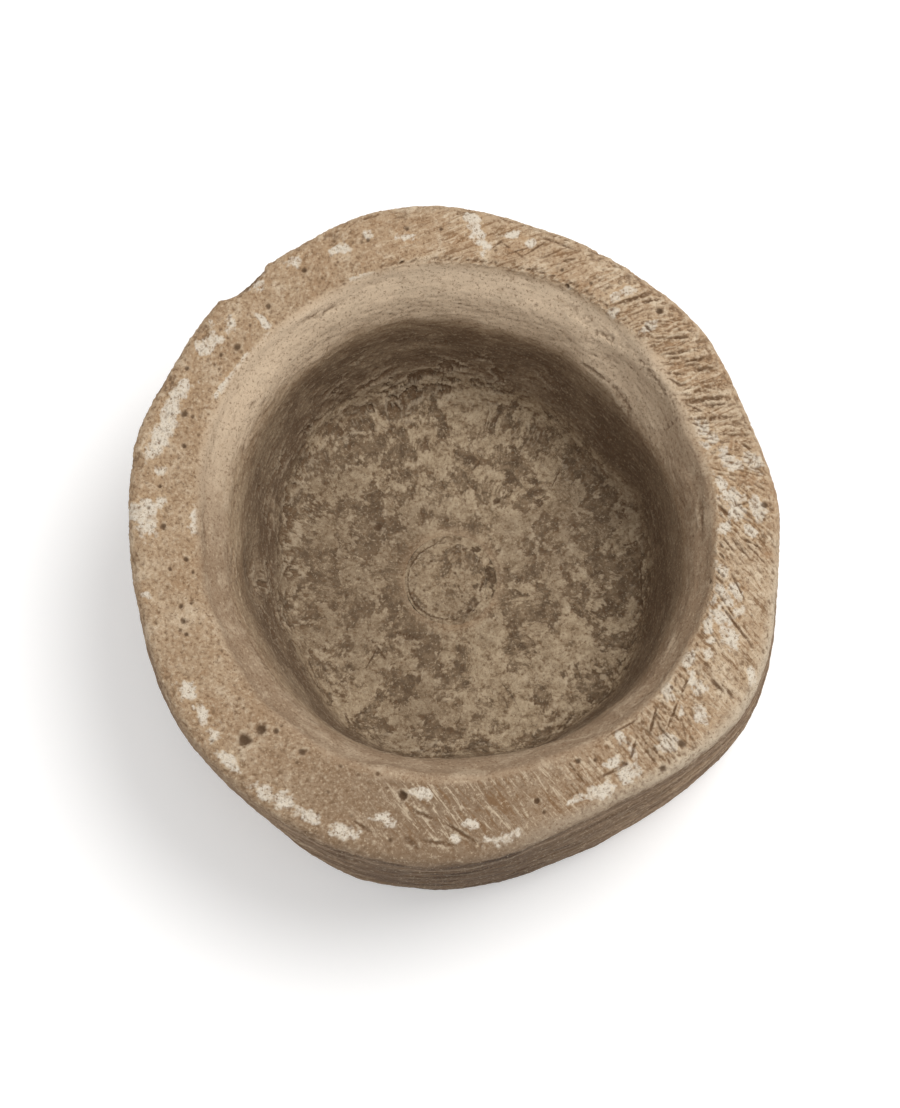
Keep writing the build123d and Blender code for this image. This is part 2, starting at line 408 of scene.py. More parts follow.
# The same for the facets and ledges of the lip
LEDGES = [
    (584, 356, 612, 378, 7, 2.6), (610, 374, 640, 418, 8, 3.0), (590, 328, 634, 352, 12, 1.8),
    (634, 352, 680, 420, 13, 2.2), (678, 417, 664, 434, 6, 2.0), (560, 300, 600, 330, 12, 1.4),
    (232, 545, 232, 575, 9, 2.4), (205, 505, 206, 560, 12, 1.6), (700, 500, 702, 535, 9, 2.2),
    (250, 640, 285, 690, 12, 1.8), (330, 735, 400, 756, 10, 1.6), (500, 752, 580, 730, 10, 1.6),
    (300, 322, 350, 300, 10, 1.4), (352, 396, 400, 364, 9, 3.4),
    (300, 440, 345, 402, 9, 3.2), (380, 392, 440, 372, 7, 2.4), (320, 400, 352, 372, 8, 2.4),
]

# The same for the plug: the jagged break down its right side, and its pits
PLUG_CRACKS = [
    (455, 541, 463, 549, 2.4, 1.6), (463, 549, 472, 548, 2.2, 1.4), (472, 548, 481, 556, 2.4, 1.6),
    (481, 556, 477, 566, 2.2, 1.4), (477, 566, 484, 578, 2.6, 1.8), (484, 578, 480, 590, 2.2, 1.6),
    (480, 590, 483, 604, 2.4, 1.6), (483, 604, 474, 612, 2.4, 1.6), (474, 612, 478, 624, 2.6, 1.8),
    (478, 624, 466, 628, 2.0, 1.2), (430, 560, 441, 570, 1.6, 0.7), (446, 590, 452, 603, 1.6, 0.6),
]
PLUG_PITS = [
    (470, 612, 7, 1.6), (477, 604, 5, 1.2), (431, 561, 3, 0.9), (455, 573, 3, 0.8), (437, 604, 3, 0.9),
    (462, 596, 3, 0.8), (444, 552, 3, 0.8), (424, 590, 3, 0.8), (452, 617, 3, 0.8), (416, 575, 3, 0.7),
]


# Factors on the widths and depths, and on the patches' sizes, in the lists
FURROW_WIDTH, FURROW_DEPTH = 0.72, 1.25
PIT_WIDTH, PIT_DEPTH = 0.78, 0.8
PATCH_SIZE = 1.2

# Factors on a chip's radius and depth, for chips above and below a row of pixels.
# OUTLINE_MISS is how many pixels further in to look when a chip misses the stone.
CHIPS_BACK_ROW = 600
CHIPS_AT_BACK = (1.0, 1.0)
CHIPS_IN_FRONT = (1.54, 0.4)
RIM_MIDDLE = (450, 540)
OUTLINE_MISS = 6

# Marks that are scattered, and the thicknesses of what lies on the stone
PICK_MARKS = 420
RIM_CUTS = 2300
SMALL_HOLES = 1500
CLEAR_RADIUS = 480 * MM
BACK_LEFT = 133
LIP_BULGE = 6.0 * MM
CRUST_THICKNESS = 0.8 * MM
PALE_THICKNESS = 0.25 * MM

# A weight too small to see
FAINT = 0.004


def spot(x, y):
    """Where the camera sees a pixel of the photograph on the stone."""
    hit = stone_tree.ray_cast(camera_place, sight_line(x, y))[0]
    return None if hit is None else np.array(hit)


def spot_on_edge(x, y):
    """The same for a pixel on the outline, which may just miss the stone."""
    place = spot(x, y)
    if place is None:
        across, down = RIM_MIDDLE[0] - x, RIM_MIDDLE[1] - y
        step = OUTLINE_MISS / math.hypot(across, down)
        place = spot(x + step * across, y + step * down)
    return place


def softened(grid, zones):
    """The grid with the creases between the CAD's bands worn round. The foot, the base
    and the bore stay as they are."""
    keep = np.isin(zones, ["base", "foot", "bore"]).astype(float)
    keep = np.clip(2 * blur(keep[:, None], 6, 0), 0, 1)[:, :, None]
    soft = blur(blur(grid, 4, 0), 4, 0)
    return grid * keep + soft * (1 - keep)


class Relief:
    """Heights, in metres along the normal, and masks on a grid's points."""

    def __init__(self, grid):
        self.shape = grid.shape[:2]
        self.points = grid.reshape(-1, 3)
        self.outward = normals(grid).reshape(-1, 3)
        self.height = np.zeros(len(self.points))
        self.masks = {}

    def mask(self, name):
        return self.masks.setdefault(name, np.zeros(len(self.points)))

    def add(self, weight, height_of):
        """Adds height_of(points), in millimetres, times a weight, where there is any."""
        at = np.nonzero(weight > FAINT)[0]
        self.height[at] += weight[at] * height_of(self.points[at]) * MM

    def near(self, low, high, margin):
        """Indices of the points in a box that is grown by a margin."""
        x = self.points[:, 0]
        at = np.nonzero((x > low[0] - margin) & (x < high[0] + margin))[0]
        for k in (1, 2):
            value = self.points[at, k]
            at = at[(value > low[k] - margin) & (value < high[k] + margin)]
        return at

    def raise_mask(self, name, at, value):
        mask = self.mask(name)
        mask[at] = np.maximum(mask[at], value)

    def pit(self, place, width, depth, wobble, dirt=0.85):
        at = self.near(place, place, width * 1.6)
        distance = np.linalg.norm(self.points[at] - place, axis=1) * (1 + 0.3 * wobble[at])
        self.height[at] -= depth * np.exp(-(distance / (0.52 * width)) ** 3)
        self.raise_mask("dirt", at, dirt * np.exp(-(distance / (0.56 * width)) ** 3))

    def furrow(self, start, end, width, depth, wobble, stain=1.0, soil=0.0, tapered=True):
        """A tapered cut between two points, with its sides pushed up a little, and a dark line along it that
        is partly painted shade in the groove and partly stain.
        """
        at = self.near(np.minimum(start, end), np.maximum(start, end), width * 2.5)
        along = end - start
        offset = self.points[at] - start
        share = offset @ along / (along @ along)
        distance = np.linalg.norm(offset - np.clip(share, 0, 1)[:, None] * along, axis=1)
        distance = np.abs(distance + 0.5 * width * wobble[at])
        fade = 1.0
        if tapered:
            fade = smooth_step(-0.08, 0.3, share) * (1 - smooth_step(0.6, 1.08, share))
        strength = fade * np.clip(0.75 + 0.9 * wobble[at], 0.1, 1.2)
        groove = np.exp(-(distance / (0.42 * width)) ** 2)
        shoulder = np.exp(-((distance - 0.95 * width) / (0.45 * width)) ** 2)
        self.height[at] += strength * depth * (0.30 * shoulder - groove)
        # The dark line along the cut: partly painted shade in the groove, partly stain
        line = np.exp(-(distance / (0.34 * width)) ** 2)
        self.raise_mask("furrow", at, np.minimum(stain * strength * line, 1))
        if soil:
            self.raise_mask("dirt", at, soil * fade * line)

    def chip(self, place, radius, depth, wobble):
        at = self.near(place, place, radius * 1.5)
        distance = np.linalg.norm(self.points[at] - place, axis=1) * (1 + 0.35 * wobble[at])
        self.height[at] -= depth * (1 - smooth_step(0.35 * radius, 1.15 * radius, distance))

    def patch(self, name, place, half_length, half_width, turn, wobble):
        """A blotch with a broken edge, in a mask."""
        reach = np.array((0, 0, 12 * MM))
        at = self.near(place - reach, place + reach, 1.7 * max(half_length, half_width))
        turn = math.radians(turn)
        dx, dy = (self.points[at] - place)[:, :2].T
        u = (dx * math.cos(turn) + dy * math.sin(turn)) / half_length
        v = (dy * math.cos(turn) - dx * math.sin(turn)) / half_width
        value = 1 - np.sqrt(u * u + v * v) + 0.65 * wobble[at]
        self.raise_mask(name, at, smooth_step(-0.10, 0.45, value))

    def stay_inside(self, low, high):
        """Limits the heights so that no point leaves a box."""
        for k in range(3):
            n = self.outward[:, k]
            for bound, sign in ((low[k], -1), (high[k], 1)):
                leaving = n * sign > 0.05
                room = (bound - self.points[leaving, k]) / n[leaving]
                self.height[leaving] = np.minimum(self.height[leaving], np.maximum(room, 0) - 0.1 * MM)

    def moved(self):
        points = self.points + self.outward * self.height[:, None]
        return points.reshape(*self.shape, 3)

    def blurred(self, values, reach):
        field = values.reshape(self.shape)
        return blur(blur(field, reach, reach), reach, reach).reshape(-1)

    def wear(self, shallow, deep):
        """Masks of the hollows, where dirt stays, and of the edges that stand proud."""
        detail = self.height - self.blurred(self.height, 3)
        self.mask("hollow")[:] = smooth_step(shallow, deep, -detail)
        self.mask("high")[:] = smooth_step(shallow, deep, detail)


def rim_cut_direction(azimuth):
    """The way the mason's cuts run on the rim, in degrees, by where on the rim they lie."""
    azimuths = [-115, -80, -60, -40, -15, 5, 15, 30, 45, 58, 75, 100, 118]
    directions = [-20, -26, -50, -60, -52, -42, 0, 8, 10, 32, 26, 30, 20]
    return np.interp(azimuth, azimuths, directions)


def stretched(points, along, across, bend=0.0):
    """Points squeezed sideways round the trough, so that noise on them runs level."""
    angle = np.arctan2(points[:, 1] - axis.y, points[:, 0] - axis.x)
    return np.stack([np.cos(angle) * along, np.sin(angle) * along, (points[:, 2] + bend) / across], 1)


class StoneRelief(Relief):
    """The stone's relief, part by part, and the masks for its colours. Heights in the
    noise are in millimetres, and azimuth 0 is +X."""

    def __init__(self, grid, zones):
        super().__init__(grid)
        self.zones = zones
        self.noise, self.second, self.third = (Noise(SEED + k) for k in range(3))
        self.random = np.random.default_rng(SEED)
        self.angle = np.arctan2(self.points[:, 1] - axis.y, self.points[:, 0] - axis.x)
        self.azimuth = np.degrees(self.angle)
        self.depth = np.clip((rim_top - self.points[:, 2]) / (rim_top - floor_top), 0, 1)
        self.rim = self.weight(4, "rim")
        self.edge = self.weight(4, "edge")
        self.top = np.clip(self.rim + self.edge, 0, 1)
        self.lip = self.weight(6, "lip")
        self.wall = self.weight(8, "wall", "corner")
        self.inside = self.weight(6, "lip", "wall", "corner")
        self.floor = self.weight(5, "floor", "corner")
        self.outside = self.weight(9, "outside", "foot")
        self.free = 1 - self.weight(3, "base", "bore")
        # The mason's cuts still show on the rim's front, right and back
        self.dressed = smooth_step(-118, -92, self.azimuth) * (1 - smooth_step(88, 118, self.azimuth))
        # A smooth funnel under the rim, down to a share of the depth
        deep = 0.25 + 0.08 * smooth_step(-0.2, 0.9, np.sin(self.angle))
        deep -= 0.06 * smooth_step(0.2, 0.9, -np.cos(self.angle))
        deep += 0.05 * self.third(self.points, 70 * MM) + 0.02 * self.third(self.points, 20 * MM)
        self.funnel = self.inside * (1 - smooth_step(deep - 0.05, deep + 0.09, self.depth))
        self.wobble = self.broken_up(6 * MM, 2, 0.5)
        self.rough = self.broken_up(17 * MM, 4, 0.75)

    def weight(self, blend_rows, *names):
        """1 in some zones and 0 in the others, blended over some rows between them."""
        rows = np.isin(self.zones, names).astype(float)
        return np.repeat(blur(rows[:, None], blend_rows, 0)[:, 0], self.shape[1])

    def broken_up(self, size, count, rough):
        """Noise on the points that may move, to break up the outlines of marks."""
        values = np.zeros(len(self.points))
        at = np.nonzero(self.free > 0.5)[0]
        values[at] = self.third.layers(self.points[at], size, count, rough)
        return values

    def swells(self):
        noise, second, third = self.noise, self.second, self.third
        self.add(self.free, lambda q: 1.1 * noise.layers(q, 110 * MM, 2) + 0.6 * noise.layers(q, 32 * MM, 2))
        self.add(self.top, lambda q: 0.50 * second.layers(q, 8.5 * MM, 3, 0.8))
        pitted = lambda q: 0.65 * third.layers(q, 4.8 * MM, 2, 0.8) - 0.5 * np.abs(noise(q, 17 * MM))
        self.add(self.top * (1 - self.dressed), pitted)

    def shape_lip(self):
        """Left smooth, in long soft facets with fine marks along them. It spreads wide at
        the back, over a steeper wall."""
        third = self.third
        fine = lambda q: 0.55 * third.layers(stretched(q, 11, 5.2 * MM), 1.0, 3, 0.7)
        self.add(0.45 * self.lip + self.wall, fine)
        facets = lambda q: 2.2 * np.abs(self.noise(q, 60 * MM)) - 0.5 + 0.12 * self.second(q, 6 * MM)
        self.add(self.funnel, facets)
        self.add(self.funnel, lambda q: 0.7 * np.abs(third.layers(stretched(q, 7, 30 * MM), 1.0, 2)))
        bulge = np.exp(-((self.depth - 0.32) / 0.17) ** 2) * smooth_step(-0.3, 0.6, np.sin(self.angle))
        self.height += LIP_BULGE * bulge * self.inside

    def ledges(self, q):
        shift = 16 * MM * self.second.layers(q, 60 * MM, 2)
        tears = self.noise.layers(stretched(q, 6, 24 * MM, shift), 1.0, 5, 0.68)
        broken = smooth_step(-0.25, 0.35, self.third.layers(q, 50 * MM, 2))
        return 0.3 + broken * (1.2 * tears - 3.4 * smooth_step(0.05, 0.45, tears))

    def shape_wall(self):
        """Gritty, and torn into ledges low down, most of all at the back left."""
        self.add(self.wall, lambda q: 0.30 * self.second.layers(q, 10 * MM, 3, 0.7))
        back_left = smooth_step(-0.1, 0.75, np.cos(self.angle - math.radians(BACK_LEFT)))
        torn = self.wall * smooth_step(0.35, 0.85, self.depth) * (0.16 + 1.25 * back_left)
        self.add(torn, self.ledges)

    def shape_floor(self):
        """Worn into shallow hollows under a broken crust."""
        crust = self.mask("crust")
        at = np.nonzero(self.floor > FAINT)[0]
        crust[at] = smooth_step(-0.10, 0.22, self.noise.layers(self.points[at], 42 * MM, 5, 0.72))
        self.add(self.floor, lambda q: self.second.layers(q, 50 * MM, 3, 0.55))
        self.add(self.floor, lambda q: 0.32 * self.third.layers(q, 6.2 * MM, 2, 0.8))
        self.height += CRUST_THICKNESS * self.floor * (crust - 0.5)

    def beds(self, q):
        bend = 9 * MM * self.second(q, 120 * MM) + 0.05 * q[:, 0]
        layers = self.noise.layers(stretched(q, 4.2, 21 * MM, bend), 1.0, 4, 0.62)
        seams = np.abs(self.second.layers(stretched(q, 3.0, 41 * MM, bend), 1.0, 2)) ** 0.8
        return 1.0 * layers + 0.6 - 1.9 * seams

    def shape_outside(self):
        """In beds, long and nearly level."""
        self.add(self.outside + 0.4 * self.edge, lambda q: 0.42 * self.second.layers(q, 11 * MM, 3, 0.7))
        self.add(self.outside + 0.35 * self.edge, self.beds)

    def pick_marks(self):
        """Slanting cuts all over the outside wall."""
        random = self.random
        for _ in range(PICK_MARKS):
            a = random.uniform(0, 2 * math.pi)
            z = random.uniform(12, 318) * MM
            start = Vector((axis.x + CLEAR_RADIUS * math.cos(a), axis.y + CLEAR_RADIUS * math.sin(a), z))
            place = stone_tree.ray_cast(start, Vector((-math.cos(a), -math.sin(a), 0)))[0]
            lean = math.radians(random.normal(52, 14))
            half = random.uniform(9, 22) * MM
            way = np.array((-math.sin(a) * math.cos(lean), math.cos(a) * math.cos(lean), math.sin(lean)))
            width, cut = random.uniform(3, 6) * MM, random.uniform(0.5, 1.5) * MM
            if place is not None:
                step = half * way
                self.furrow(np.array(place) - step, np.array(place) + step, width, cut, self.wobble, 0.5)

    def rim_cuts(self):
        """Short fine cuts over the dressed part of the rim, fewer at its two ends."""
        random = self.random
        for _ in range(RIM_CUTS):
            azimuth = random.uniform(-112, 112)
            if random.random() > np.interp(azimuth, [-112, -100, 95, 112], [0.4, 1, 1, 0.4]):
                continue
            a = math.radians(azimuth)
            r = random.uniform(252, 330) * MM
            place = np.array((axis.x + r * math.cos(a), axis.y + r * math.sin(a), rim_top - 3 * MM))
            way = math.radians(rim_cut_direction(azimuth) + random.normal(0, 11))
            half = random.uniform(4, 14) * MM
            step = half * np.array((math.cos(way), math.sin(way), 0))
            width = random.uniform(1.7, 3.0) * MM
            self.furrow(place - step, place + step, width, random.uniform(0.6, 1.8) * MM, self.wobble, 0.9)

    def cut_lines(self, lines, wobble, widths=1.0, depths=1.0, **kind):
        for x0, y0, x1, y1, width, cut in lines:
            start, end = spot(x0, y0), spot(x1, y1)
            if start is not None and end is not None:
                self.furrow(start, end, widths * width * MM, depths * cut * MM, wobble, **kind)

    def marks_in_photo(self):
        """The marks that can be told apart in the photograph, where the camera sees them."""
        self.cut_lines(FURROWS, self.wobble, FURROW_WIDTH, FURROW_DEPTH, stain=1.5, soil=0.35)
        self.cut_lines(CRACKS, self.wobble, soil=0.8, tapered=False)
        self.cut_lines(LEDGES, self.rough, stain=0.3)
        for x, y, width, deep in PITS:
            place = spot(x, y)
            if place is not None:
                self.pit(place, PIT_WIDTH * width * MM, PIT_DEPTH * deep * MM, self.wobble, 0.75)
        for x, y, size, deep in EDGE_CHIPS:
            place = spot_on_edge(x, y)
            if place is not None:
                wider, deeper = CHIPS_AT_BACK if y < CHIPS_BACK_ROW else CHIPS_IN_FRONT
                self.chip(place, wider * size * MM, deeper * deep * MM, self.rough)
        for x, y, half_length, half_width, turn in PALE_PATCHES:
            place = spot(x, y)
            if place is not None:
                sizes = PATCH_SIZE * half_length * MM, PATCH_SIZE * half_width * MM
                self.patch("pale", place, *sizes, turn, self.rough)

    def small_holes(self):
        """All over, and more on the worn left of the rim."""
        random = self.random
        density = self.rim * (1.3 - self.dressed) + 0.30 * self.outside + 0.35 * self.floor
        density += 0.25 * self.edge + 0.2 * self.wall
        for index in random.integers(len(self.points), size=SMALL_HOLES):
            if random.random() < density[index]:
                width = random.uniform(1.6, 3.4) * MM
                deep = random.uniform(0.4, 1.2) * MM
                self.pit(self.points[index], width, deep, self.wobble, random.uniform(0.1, 0.5))

    def colour_masks(self):
        ragged = self.points[:, 2] - rim_top + 6 * MM * self.third(self.points, 30 * MM)
        below_edge = 1 - smooth_step(-30 * MM, -9 * MM, ragged)
        outside = np.clip(self.outside + self.edge * below_edge, 0, 1)
        pale = self.mask("pale") * np.clip(self.top + 0.6 * outside, 0, 1)
        front_right = smooth_step(-95, -70, self.azimuth) * (1 - smooth_step(-20, 5, self.azimuth))
        values = {
            "rim": self.top,
            "dressed": self.rim * self.dressed,
            "left": 1 - self.dressed,
            "upper": smooth_step(-5, 25, self.azimuth),
            "pale": pale,
            "halo": np.clip(2.0 * self.blurred(pale, 4), 0, 1) * (1 - pale),
            "worn": self.edge * front_right,
            # Painted shade: the front of the rim is painted darker
            "rim_front_painted_shade": self.top * np.exp(-(((self.azimuth + 92) / 34) ** 2)),
            "lip": self.funnel,
            # Painted light: the lip is painted lighter towards the back
            "back": smooth_step(-0.1, 0.75, np.sin(self.angle - 0.15)),
            "wall": np.clip(self.inside - self.funnel, 0, 1),
            # Painted shade: the basin's wall is painted darker on the right
            "right": smooth_step(0.1, 0.9, np.cos(self.angle)),
            "deep": self.wall * smooth_step(0.22, 0.60, self.depth),
            "floor": self.floor,
            "outside": outside,
            "shade": outside * np.exp(-(((self.azimuth + 85) / 28) ** 2)),
        }
        for name, value in values.items():
            self.mask(name)[:] = value

    def carve(self):
        self.swells()
        self.shape_lip()
        self.shape_wall()
        self.shape_floor()
        self.shape_outside()
        self.pick_marks()
        self.rim_cuts()
        self.marks_in_photo()
        self.small_holes()
        self.height += PALE_THICKNESS * self.mask("pale") * self.top
        self.height *= self.free
        self.colour_masks()


def mesh_from_grid(name, points, closed_ends=False):
    """A closed mesh from a grid whose columns close. Its rows close too, unless its ends
    are closed by a face each."""
    rows, columns = points.shape[:2]
    index = np.arange(rows * columns).reshape(rows, columns)
    last = rows - 1 if closed_ends else rows
    below = np.roll(index, -1, 0)[:last]
    index = index[:last]
    quads = np.stack([index, np.roll(index, -1, 1), np.roll(below, -1, 1), below], -1).reshape(-1, 4)
    mesh = bpy.data.meshes.new(name)
    if closed_ends:
        corners = points.reshape(-1, 3)
        ends = [list(range(columns))[::-1], [last * columns + k for k in range(columns)]]
        mesh.from_pydata(corners.tolist(), [], quads.tolist() + ends)
    else:
        mesh.vertices.add(rows * columns)
        mesh.vertices.foreach_set("co", points.reshape(-1).astype(np.float32))
        mesh.loops.add(quads.size)
        mesh.loops.foreach_set("vertex_index", quads.reshape(-1))
        mesh.polygons.add(len(quads))
        mesh.polygons.foreach_set("loop_start", np.arange(0, quads.size, 4))
    mesh.update(calc_edges=True)
    mesh.polygons.foreach_set("use_smooth", np.ones(len(mesh.polygons), bool))
    thing = bpy.data.objects.new(name, mesh)
    bpy.context.collection.objects.link(thing)
    return thing


def add_mask(thing, name, values):
    layer = thing.data.attributes.new(name, "FLOAT", "POINT")
    layer.data.foreach_set("value", values.astype(np.float32))


def place_loops(thing, spots):
    """The bake's map: a place in metres for each face corner, fitted into the square."""
    layer = thing.data.uv_layers.new(name="OFBake")
    low = spots.min(0)
    fitted = (spots - low) / (spots - low).max() * 0.996 + 0.002
    layer.data.foreach_set("uv", fitted.reshape(-1).astype(np.float32))


def stone_map(points, zones):
    """Where each face corner of the stone goes on the map, in metres: the rim and the
    floor seen from above, the walls rolled out in strips, the base made smaller."""
    rows, columns = points.shape[:2]
    lengths = np.linalg.norm(np.roll(points, -1, 0) - points, axis=2).mean(1)
    down = np.abs(normals(points)[:, :, 2]).mean(1)
    row_of = np.arange(rows)
    corner_rows = (row_of[:, None] + np.array([0, 0, 1, 1])) % rows
    corner_columns = np.arange(columns)[:, None] + np.array([0, 1, 1, 0])
    spots = np.zeros((rows, columns, 4, 2))
    first = {name: np.nonzero(zones == name)[0][0] for name in set(zones)}
    edge_split = first["edge"] + np.argmax(down[first["edge"]:first["rim"]] > 0.5)
    lip_split = first["lip"] + np.argmax(down[first["lip"]:first["wall"]] < 0.5)
    corner_split = first["corner"] + np.argmax(down[first["corner"]:first["floor"]] > 0.5)

    def seen_from_above(start, end, scale, shift):
        at = points[corner_rows[start:end, None, :], (corner_columns % columns)[None, :, :], :2]
        spots[start:end] = at * scale + np.array(shift)

    def rolled_out(start, end, parts, places, scale):
        """Strips, each with its lower left corner at its place."""
        depth = np.concatenate([[0], np.cumsum(lengths[start:end])]) * scale
        wide = np.linalg.norm(np.roll(points[start:end], -1, 1) - points[start:end], axis=2).mean() * scale
        for part, (x, y) in zip(range(parts), places):
            left, right = columns * part // parts, columns * (part + 1) // parts
            u = (corner_columns[left:right] - left) * wide + x
            v = depth[(np.arange(start, end)[:, None] + np.array([0, 0, 1, 1])) - start] + y
            spots[start:end, left:right, :, 0] = u[None, :, :]
            spots[start:end, left:right, :, 1] = v[:, None, :]

    seen_from_above(edge_split, lip_split, 1.0, (0.35, 0.35))
    seen_from_above(corner_split, first["bore"], 1.0, (0.35, 0.35))
    rolled_out(lip_split, corner_split, 2, ((0.71, 0.0), (0.71, 0.33)), 0.92)
    rolled_out(first["foot"], edge_split, 3, ((0.0, 0.72), (0.71, 0.72), (0.0, 1.11)), 0.97)
    seen_from_above(first["base"], first["foot"], 0.45, (0.90, 1.28))
    rolled_out(first["bore"], rows, 1, ((1.08, 1.12),), 0.9)
    return spots


def srgb(red, green, blue):
    """A colour given as it looks on screen, as the shader wants it."""
    def linear(v):
        v /= 255
        return v / 12.92 if v <= 0.04045 else ((v + 0.055) / 1.055) ** 2.4
    return (linear(red), linear(green), linear(blue), 1.0)


class Nodes:
    """A short way to write a node material."""

    def __init__(self, name):
        self.material = bpy.data.materials.new(name)
        self.material.use_nodes = True
        self.tree = self.material.node_tree
        self.shader = self.tree.nodes["Principled BSDF"]
        self.place = self.add("ShaderNodeTexCoord").outputs["Object"]

    def add(self, kind, **settings):
        node = self.tree.nodes.new(kind)
        for key, value in settings.items():
            setattr(node, key, value)
        return node

    def feed(self, socket, value):
        if hasattr(value, "is_output"):
            self.tree.links.new(value, socket)
        else:
            socket.default_value = value

    def mask(self, name):
        return self.add("ShaderNodeAttribute", attribute_name=name).outputs["Fac"]

    def noise(self, scale, detail=4.0, roughness=0.55, distortion=0.0, place=None):
        node = self.add("ShaderNodeTexNoise")
        self.feed(node.inputs["Vector"], place or self.place)
        node.inputs["Scale"].default_value = scale
        node.inputs["Detail"].default_value = detail
        node.inputs["Roughness"].default_value = roughness
        node.inputs["Distortion"].default_value = distortion
        return node.outputs["Fac"]

    def squeezed(self, x, y, z):
        node = self.add("ShaderNodeMapping", vector_type="POINT")
        self.feed(node.inputs["Vector"], self.place)
        node.inputs["Scale"].default_value = (x, y, z)
        return node.outputs[0]

    def streaks(self, turn):
        """Noise drawn out along a level direction, given in degrees."""
        node = self.add("ShaderNodeMapping", vector_type="TEXTURE")
        self.feed(node.inputs["Vector"], self.place)
        node.inputs["Rotation"].default_value = (0.0, 0.0, math.radians(turn))
        node.inputs["Scale"].default_value = (6.0, 1.0, 6.0)
        return self.noise(210.0, 4.0, 0.65, 0.6, node.outputs[0])

    def math(self, operation, a, b=0.0, c=0.0):
        node = self.add("ShaderNodeMath", operation=operation, use_clamp=True)
        for socket, value in zip(node.inputs, (a, b, c)):
            self.feed(socket, value)
        return node.outputs[0]

    def plain(self, operation, a, b=0.0):
        node = self.add("ShaderNodeMath", operation=operation)
        self.feed(node.inputs[0], a)
        self.feed(node.inputs[1], b)
        return node.outputs[0]

    def times(self, a, b):
        return self.math("MULTIPLY", a, b)

    def ramp(self, value, low, high, out_low=0.0, out_high=1.0):
        node = self.add("ShaderNodeMapRange", interpolation_type="SMOOTHSTEP", clamp=True)
        for socket, v in zip(node.inputs[:5], (value, low, high, out_low, out_high)):
            self.feed(socket, v)
        return node.outputs[0]

    def mix(self, share, a, b):
        node = self.add("ShaderNodeMix", data_type="RGBA", clamp_factor=True)
        self.feed(node.inputs[0], share)
        self.feed(node.inputs[6], a)
        self.feed(node.inputs[7], b)
        return node.outputs[2]


